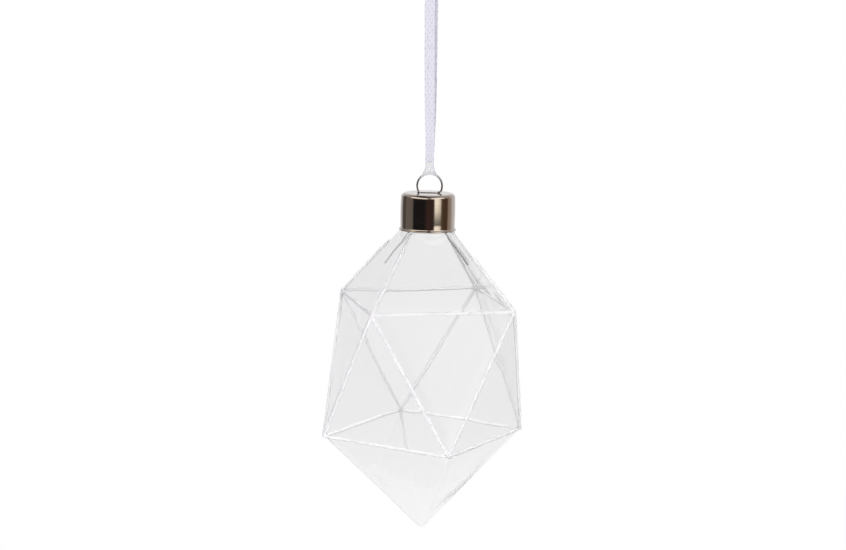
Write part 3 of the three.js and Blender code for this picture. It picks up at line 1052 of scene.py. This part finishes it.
class ORNAMENT_OT_glass(bpy.types.Operator):
    """Build the blown glass body with its neck, soft edges and wandering walls"""

    bl_idname = "ornament.glass"
    bl_label = "Glass body"

    def execute(self, context):
        settings = context.scene.ornament_glass
        cap = context.scene.ornament_cap
        top_level = CAP_BOTTOM - 3.0 * MM
        bm = bmesh.new()
        facet_hull(bm, settings, top_level)
        folds = [edge for edge in bm.edges if not edge.is_boundary]
        bmesh.ops.bevel(
            bm,
            geom=folds,
            offset=settings.edge_softness,
            offset_type="OFFSET",
            segments=4,
            profile=0.5,
            affect="EDGES",
            material=-1,
            clamp_overlap=True,
        )
        straight = [edge for edge in bm.edges if edge.is_boundary and edge.calc_length() > 6 * MM]
        bmesh.ops.subdivide_edges(bm, edges=straight, cuts=13)
        self.add_neck(bm, settings, cap, top_level)
        bmesh.ops.recalc_face_normals(bm, faces=bm.faces[:])
        for _ in range(6):
            bmesh.ops.triangulate(bm, faces=[face for face in bm.faces if len(face.verts) > 4])
            long_edges = [edge for edge in bm.edges if edge.calc_length() > settings.facet_size]
            if not long_edges:
                break
            bmesh.ops.subdivide_edges(bm, edges=long_edges, cuts=1)
        bmesh.ops.triangulate(bm, faces=bm.faces[:])
        lowest = min(bm.verts, key=lambda vert: vert.co.z)
        if lowest.normal.z > 0:
            bmesh.ops.reverse_faces(bm, faces=bm.faces[:])
        self.blow(bm, settings)
        smooth_shade(bm, 60.0)
        piece = add_object("blown_glass_shell", bm, glass_material(settings))
        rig.slot(piece, "clear_glass")
        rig.replaces(piece, "glass_body")
        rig.ride(piece, "glass")
        return {"FINISHED"}

    def add_neck(self, bm, settings, cap, top_level):
        """The shoulder and the neck, extruded from the open top."""
        apex_level = CAP_TOP - settings.apex_drop
        rim_edges = [edge for edge in bm.edges if edge.is_boundary]
        verts = list({vert for edge in rim_edges for vert in edge.verts})
        verts.sort(key=lambda vert: math.atan2(vert.co.y, vert.co.x))
        around = [math.atan2(vert.co.y, vert.co.x) for vert in verts]
        reach = [math.hypot(vert.co.x, vert.co.y) for vert in verts]

        def flared(level, least):
            shrink = (apex_level - level) / (apex_level - top_level)

            def place(index):
                radius = max(reach[index] * shrink, least)
                return Vector((radius * math.cos(around[index]), radius * math.sin(around[index]), level))

            return place

        neck = settings.neck_radius
        rim = cap.fillet - cap.wall - 0.3 * MM
        rim_centre = neck - rim
        shoulder = ((-2.3, 0.9), (-1.7, 0.95), (-1.1, 1.0), (-0.7, 1.0), (-0.42, 0.9))
        straight = ((-0.1, 0.45), (0.35, 0.0), (3.0, 0.0), (6.5, 0.0), (9.5, 0.0))
        ring = verts
        for above, out in shoulder:
            ring = extrude_ring(bm, ring, flared(CAP_BOTTOM + above * MM, neck + out * MM))
        for above, out in straight:
            ring = extrude_ring(bm, ring, circle_at(around, neck + out * MM, CAP_BOTTOM + above * MM))
        rim_level = CAP_TOP - cap.fillet
        for step in range(5):
            turn = math.pi / 2 * step / 4
            place = circle_at(around, rim_centre + rim * math.cos(turn), rim_level + rim * math.sin(turn))
            ring = extrude_ring(bm, ring, place)

    def blow(self, bm, settings):
        """Gives the wall its thickness and its slow waves, outside and in."""
        bm.normal_update()
        outer = set(bm.verts)
        bmesh.ops.solidify(bm, geom=bm.faces[:], thickness=settings.wall)
        bm.normal_update()
        neck = CAP_BOTTOM - 1.0 * MM
        for vert in bm.verts:
            spread = smoothstep((neck - vert.co.z) / (8 * MM))
            seed = Vector((0.0, 0.0, 0.0)) if vert in outer else Vector((7.3, 2.1, 5.9))
            slow = noise.noise(vert.co * 45.0 + seed)
            quick = noise.noise(vert.co * 120.0 + seed) * 0.3
            vert.co += vert.normal * (slow + quick) * settings.wave * spread


def circle_at(around, radius, level):
    """Places a ring's vertices on a circle, each at its own angle."""

    def place(index):
        return Vector((radius * math.cos(around[index]), radius * math.sin(around[index]), level))

    return place


# ---- Glitter ----

LOWER_NAMES = ["front", "right", "back", "left"]
UPPER_NAMES = ["front_right", "back_right", "back_left", "front_left"]
UPPER_SIDE_NAMES = ["right", "back", "left", "front"]
TOP_LINE_REACH = [0.5, 0.54, 0.56, 0.58]
TIP_LINE_REACH = 0.36


def glitter_lines(settings):
    """Each line's node name, its two end points and how far along its edge it reaches."""
    apex, upper, lower, tip = body_corners(settings)
    lines = []
    for i in range(4):
        after = (i + 1) % 4
        lines.append((f"glitter_top_{UPPER_NAMES[i]}", upper[i], apex, TOP_LINE_REACH[i]))
        lines.append((f"glitter_upper_ring_{UPPER_SIDE_NAMES[i]}", upper[i], upper[after], 1.0))
        lines.append((f"glitter_side_{LOWER_NAMES[i]}_rising_right", lower[i], upper[i], 1.0))
        lines.append((f"glitter_side_{LOWER_NAMES[after]}_rising_left", lower[after], upper[i], 1.0))
        lines.append((f"glitter_lower_ring_{UPPER_NAMES[i]}", lower[i], lower[after], 1.0))
    lines.append(("glitter_tip_back", lower[2], tip, TIP_LINE_REACH))
    return lines


def line_frame(start, end, middle):
    """The directions along, out of and across an edge of the body."""
    along = (end - start).normalized()
    outward = (start + end) / 2 - middle
    outward = (outward - along * outward.dot(along)).normalized()
    return along, outward, along.cross(outward)


def add_flakes(bm, count, place, radius, tone_layer, rng):
    """Many small six-sided flakes; place() gives a flake's centre and its normal."""
    made = bmesh.ops.create_circle(bm, cap_ends=True, radius=radius, segments=6)
    face = made["verts"][0].link_faces[0]
    flakes = [face]
    while len(flakes) < count:
        source = flakes[: count - len(flakes)]
        geom = [element for flake in source for element in (*flake.verts, *flake.edges, flake)]
        copies = bmesh.ops.duplicate(bm, geom=geom)["geom"]
        flakes += [element for element in copies if isinstance(element, bmesh.types.BMFace)]
    for flake in flakes:
        flake.material_index = 1
        centre, normal = place()
        turn = normal.to_track_quat("Z", "Y").to_matrix() @ Matrix.Rotation(rng.uniform(0, 1.05), 3, "Z")
        size = rng.uniform(0.6, 1.35)
        tone = rng.random()
        for vert in flake.verts:
            vert.co = centre + turn @ (vert.co * size)
            vert[tone_layer] = tone


def glitter_line(name, start, end, reach, body_middle, settings, materials, rng):
    """One line of set glue, uneven in width, covered with flakes."""
    along, outward, across = line_frame(start, end, body_middle)
    run = (end - start).length * reach
    lead = 0.25 * MM if reach == 1.0 else 0.0
    base = start + outward * -0.12 * MM
    steps = max(8, int(run / (0.55 * MM)))
    sides = 8
    bm = bmesh.new()
    tone_layer = bm.verts.layers.float.new("tone")
    seed = Vector((rng.uniform(0, 50), rng.uniform(0, 50), 0.0))

    def girth(distance):
        taper = 1.0
        if reach < 1.0:
            taper = smoothstep((run - distance) / (2.4 * MM)) ** 0.5
        nearest_end = min(distance, run - distance)
        end_taper = smoothstep((nearest_end + 0.35 * MM) / (0.9 * MM))
        uneven = 1.0 + 0.22 * noise.noise(seed + Vector((distance * 900.0, 0.0, 0.0)))
        return max(0.12, uneven * taper * mix(0.75, 1.0, end_taper))

    def sway(distance):
        return across * (noise.noise(seed + Vector((0.0, distance * 420.0, 0.0))) * 0.14 * MM)

    def ring_at(step):
        distance = lead + (run - 2.0 * lead) * step / steps
        size = girth(distance)
        centre = base + along * distance + sway(distance)

        def place(index):
            turn = 2.0 * math.pi * index / sides
            rough = 1.0 + 0.12 * rng.uniform(-1.0, 1.0)
            return centre + (
                across * (math.cos(turn) * settings.half_width) + outward * (math.sin(turn) * settings.height)
            ) * (size * rough)

        return place

    ring = start_ring(bm, sides, ring_at(0))
    close_ring(bm, ring)
    for step in range(1, steps + 1):
        ring = extrude_ring(bm, ring, ring_at(step))
    close_ring(bm, ring)
    bmesh.ops.recalc_face_normals(bm, faces=bm.faces[:])
    for face in bm.faces:
        face.smooth = True

    def place_flake():
        distance = rng.uniform(0.0, run)
        size = girth(distance)
        turn = rng.gauss(math.pi / 2, 0.8)
        spread = rng.uniform(0.92, 1.08)
        radial = across * (math.cos(turn) * settings.half_width) + outward * (math.sin(turn) * settings.height)
        centre = base + along * distance + sway(distance) + radial * (size * spread)
        tilt = Vector((rng.gauss(0, 1), rng.gauss(0, 1), rng.gauss(0, 1))) * 0.26
        return centre, (radial.normalized() + tilt).normalized()

    count = int(run / MM * settings.density)
    add_flakes(bm, count, place_flake, settings.flake, tone_layer, rng)
    piece = add_object(f"{name}_bead", bm, *materials)
    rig.slot(piece, "silver_glitter")
    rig.replaces(piece, name)
    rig.ride(piece, "glass")
    return piece


class ORNAMENT_OT_glitter(bpy.types.Operator):
    """Build the glitter lines along the glass edges, and a few stray flakes"""

    bl_idname = "ornament.glitter"
    bl_label = "Glitter lines"

    def execute(self, context):
        glass = context.scene.ornament_glass
        settings = context.scene.ornament_glitter
        materials = (glue_material(settings), flake_material(settings))
        rng = random.Random(41)
        _, upper, lower, _ = body_corners(glass)
        middle = Vector((0.0, 0.0, (upper[0].z + lower[0].z) / 2))
        lines = glitter_lines(glass)
        for name, start, end, reach in lines:
            glitter_line(name, start, end, reach, middle, settings, materials, rng)
        self.scatter_crumbs(lines, middle, settings, materials, rng)
        return {"FINISHED"}

    def scatter_crumbs(self, lines, middle, settings, materials, rng):
        """Stray flakes stuck on the glass beside the lines."""
        bm = bmesh.new()
        tone_layer = bm.verts.layers.float.new("tone")

        def place():
            _, start, end, reach = rng.choice(lines)
            along, outward, across = line_frame(start, end, middle)
            distance = rng.uniform(0.05, 0.95) * reach * (end - start).length
            aside = rng.choice((-1.0, 1.0)) * rng.uniform(1.0, 3.2) * MM
            drop = abs(aside) * math.tan(math.radians(26.0)) - 0.2 * MM
            centre = start + along * distance + across * aside - outward * drop
            return centre, (outward + across * math.copysign(0.5, aside)).normalized()

        add_flakes(bm, settings.crumbs, place, settings.flake, tone_layer, rng)
        piece = add_object("stray_glitter", bm, *materials)
        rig.slot(piece, "silver_glitter")
        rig.ride(piece, "glass")


# ---- Stage ----


class ORNAMENT_OT_stage(bpy.types.Operator):
    """Set the camera, the floor, the lamps and the surroundings"""

    bl_idname = "ornament.stage"
    bl_label = "Stage"

    def execute(self, context):
        settings = context.scene.ornament_stage
        self.add_camera(context, settings)
        self.add_floor(settings)
        self.add_lamps()
        self.add_surroundings(context)
        context.scene.view_settings.view_transform = "Standard"
        return {"FINISHED"}

    def add_camera(self, context, settings):
        pitch, roll = settings.pitch, settings.roll
        forward = Vector((0.0, math.cos(pitch), -math.sin(pitch)))
        right = Vector((1.0, 0.0, 0.0))
        up = right.cross(forward)
        level_right = right * math.cos(roll) + up * math.sin(roll)
        level_up = up * math.cos(roll) - right * math.sin(roll)
        place = Vector((settings.aside, 0.0, settings.aim)) - forward * settings.distance
        data = bpy.data.cameras.new("camera")
        data.lens = settings.lens
        data.sensor_width = 36.0
        data.clip_start = 0.01
        data.clip_end = 20.0
        camera = bpy.data.objects.new("camera", data)
        camera.matrix_world = Matrix(
            (
                (level_right.x, level_up.x, -forward.x, place.x),
                (level_right.y, level_up.y, -forward.y, place.y),
                (level_right.z, level_up.z, -forward.z, place.z),
                (0.0, 0.0, 0.0, 1.0),
            )
        )
        context.scene.collection.objects.link(camera)
        context.scene.camera = camera

    def add_floor(self, settings):
        shader = Shader("pale_floor")
        shader.set(Roughness=0.8)
        mottle = shader.noise(shader.coordinates(), 6.0)
        dull = [0.97 * channel for channel in settings.floor]
        tone = shader.ramp(mottle, (0.3, dull), (0.7, settings.floor))
        shader.link(tone, shader.surface.inputs["Base Color"])
        path = shader.node("ShaderNodeLightPath")
        seen = shader.maths("MAXIMUM", path.outputs["Is Camera Ray"], path.outputs["Is Transmission Ray"])
        seen = shader.maths("MAXIMUM", seen, path.outputs["Is Glossy Ray"])
        share = shader.maths("MULTIPLY", seen, 0.985)
        white = shader.node("ShaderNodeEmission")
        shader.finish(share, shader.surface.outputs["BSDF"], white.outputs["Emission"])
        bm = bmesh.new()
        bmesh.ops.create_grid(bm, x_segments=8, y_segments=8, size=1.1)
        bmesh.ops.translate(bm, verts=bm.verts[:], vec=(0.0, 0.0, settings.floor_level))
        floor = add_object("floor", bm, shader.material)
        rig.stage(floor)

    def add_lamps(self):
        lamps = (
            ("key_softbox", (0.45, -0.85, 0.45), 0.5, 6.8, (1.0, 0.99, 0.98)),
            ("fill_softbox", (-0.7, -0.75, 0.1), 0.7, 4.7, (0.98, 0.99, 1.0)),
            ("back_softbox", (0.1, 0.9, 0.6), 0.8, 13.0, (1.0, 1.0, 1.0)),
        )
        target = Vector((0.0, 0.0, -0.12))
        for name, place, size, power, tone in lamps:
            data = bpy.data.lights.new(name, "AREA")
            data.shape = "SQUARE"
            data.size = size
            data.energy = power
            data.color = tone
            lamp = bpy.data.objects.new(name, data)
            lamp.location = place
            lamp.visible_glossy = False
            lamp.visible_transmission = False
            lamp.rotation_euler = (target - Vector(place)).to_track_quat("-Z", "Y").to_euler()
            bpy.context.scene.collection.objects.link(lamp)

    def add_surroundings(self, context):
        world = bpy.data.worlds.new("studio")
        context.scene.world = world
        world.use_nodes = True
        tree = world.node_tree
        tree.nodes.clear()

        nodes = Nodes(tree)

        def background(source, strength):
            made = nodes.node("ShaderNodeBackground")
            made.inputs["Strength"].default_value = strength
            if source is None:
                made.inputs["Color"].default_value = (1.0, 1.0, 1.0, 1.0)
            else:
                nodes.link(source, made.inputs["Color"])
            return made.outputs["Background"]

        split = nodes.node("ShaderNodeSeparateXYZ")
        nodes.link(nodes.node("ShaderNodeTexCoord").outputs["Generated"], split.inputs["Vector"])
        toward_front = nodes.maths("MULTIPLY", split.outputs["Y"], -1.0)
        compass = nodes.maths("ARCTAN2", split.outputs["X"], toward_front)
        around = nodes.rescale(compass, -math.pi, math.pi)

        def at(degrees):
            return (degrees + 180.0) / 360.0

        dark_side = (
            (at(-180), (0.50, 0.50, 0.51)),
            (at(-146), (0.44, 0.44, 0.45)),
            (at(-126), (0.08, 0.07, 0.065)),
            (at(-110), (0.065, 0.055, 0.052)),
            (at(-103), (0.14, 0.125, 0.11)),
            (at(-68), (0.125, 0.11, 0.10)),
            (at(-63), (0.011, 0.010, 0.011)),
            (at(-13), (0.010, 0.009, 0.010)),
            (at(-4), (0.034, 0.019, 0.016)),
            (at(25), (0.036, 0.021, 0.018)),
        )
        bright_side = (
            (at(60), (0.08, 0.06, 0.035)),
            (at(71), (0.065, 0.04, 0.023)),
            (at(90), (0.06, 0.035, 0.020)),
            (at(95), (0.25, 0.20, 0.16)),
            (at(112), (0.28, 0.24, 0.21)),
            (at(124), (0.48, 0.47, 0.48)),
            (at(180), (0.50, 0.50, 0.51)),
        )
        panel = ((at(31), (1.0, 0.97, 0.85)), (at(54), (0.75, 0.70, 0.60)))
        dull_panel = ((at(31), (0.11, 0.105, 0.095)), (at(54), (0.09, 0.085, 0.075)))
        room = nodes.ramp(around, *dark_side, *panel, *bright_side)
        low_room = nodes.ramp(around, *dark_side, *dull_panel, *bright_side)
        boxes = nodes.ramp(
            around,
            (at(-180), (0.42, 0.42, 0.43)),
            (at(-96), (0.30, 0.28, 0.26)),
            (at(-84), (1.0, 0.95, 0.86)),
            (at(-6), (1.0, 0.95, 0.86)),
            (at(2), (0.28, 0.25, 0.22)),
            (at(12), (0.28, 0.25, 0.22)),
            (at(19), (1.0, 0.97, 0.92)),
            (at(78), (1.0, 0.97, 0.92)),
            (at(88), (0.30, 0.28, 0.26)),
            (at(180), (0.42, 0.42, 0.43)),
        )
        height = nodes.rescale(split.outputs["Z"], -1.0, 1.0)

        def above(start, end):
            stops = ((start, (0.0, 0.0, 0.0)), (end, (1.0, 1.0, 1.0)))
            return nodes.ramp(height, *stops, interpolation="EASE")

        walls = nodes.choose(above(0.40, 0.468), background(low_room, 2.0), background(room, 2.0))
        overhead = nodes.ramp(
            around,
            (at(-180), (0.10, 0.10, 0.10)),
            (at(27), (0.12, 0.06, 0.07)),
            (at(29), (0.45, 0.45, 0.45)),
        )
        glossy = nodes.choose(above(0.66, 0.80), walls, background(boxes, 2.0))
        glossy = nodes.choose(above(0.89, 0.93), glossy, background(overhead, 1.0))
        path = nodes.node("ShaderNodeLightPath")
        soft = background(None, 0.35)
        white = background(None, 1.0)
        through = background(None, 0.97)
        lit = nodes.choose(path.outputs["Is Glossy Ray"], soft, glossy)
        lit = nodes.choose(path.outputs["Is Transmission Ray"], lit, through)
        lit = nodes.choose(path.outputs["Is Camera Ray"], lit, white)
        output = nodes.node("ShaderNodeOutputWorld")
        nodes.link(lit, output.inputs["Surface"])


# ---- Panel and registration ----


class ORNAMENT_PT_panel(bpy.types.Panel):
    """Lists the ornament's settings and the steps that build it"""

    bl_idname = "ORNAMENT_PT_panel"
    bl_label = "Glass ornament"
    bl_space_type = "VIEW_3D"
    bl_region_type = "UI"
    bl_category = "Ornament"

    def draw(self, context):
        for name, group in SETTINGS.items():
            box = self.layout.box()
            box.label(text=group.__name__)
            for key in group.__annotations__:
                box.prop(getattr(context.scene, name), key)
        for operator in OPERATORS:
            self.layout.operator(operator.bl_idname)


OPERATORS = (
    ORNAMENT_OT_stage,
    ORNAMENT_OT_ribbon,
    ORNAMENT_OT_clip,
    ORNAMENT_OT_cap,
    ORNAMENT_OT_glass,
    ORNAMENT_OT_glitter,
)
CLASSES = (*SETTINGS.values(), *OPERATORS, ORNAMENT_PT_panel)


def register():
    for cls in CLASSES:
        bpy.utils.register_class(cls)
    for name, group in SETTINGS.items():
        setattr(bpy.types.Scene, name, PointerProperty(type=group))


def unregister():
    for name in SETTINGS:
        delattr(bpy.types.Scene, name)
    for cls in reversed(CLASSES):
        bpy.utils.unregister_class(cls)


def main():
    """Builds the stage and every piece, and writes the two boxes."""
    register()
    bpy.ops.ornament.stage()
    bpy.ops.ornament.ribbon()
    bpy.ops.ornament.clip()
    bpy.ops.ornament.cap()
    bpy.ops.ornament.glass()
    bpy.ops.ornament.glitter()
    bpy.context.view_layer.update()
    boxes = {"cad": CAD_BOX, "visual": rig.bounds()}
    with open("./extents.json", "w") as file:
        json.dump({name: [list(corner) for corner in box] for name, box in boxes.items()}, file)


if __name__ == "__main__":
    main()
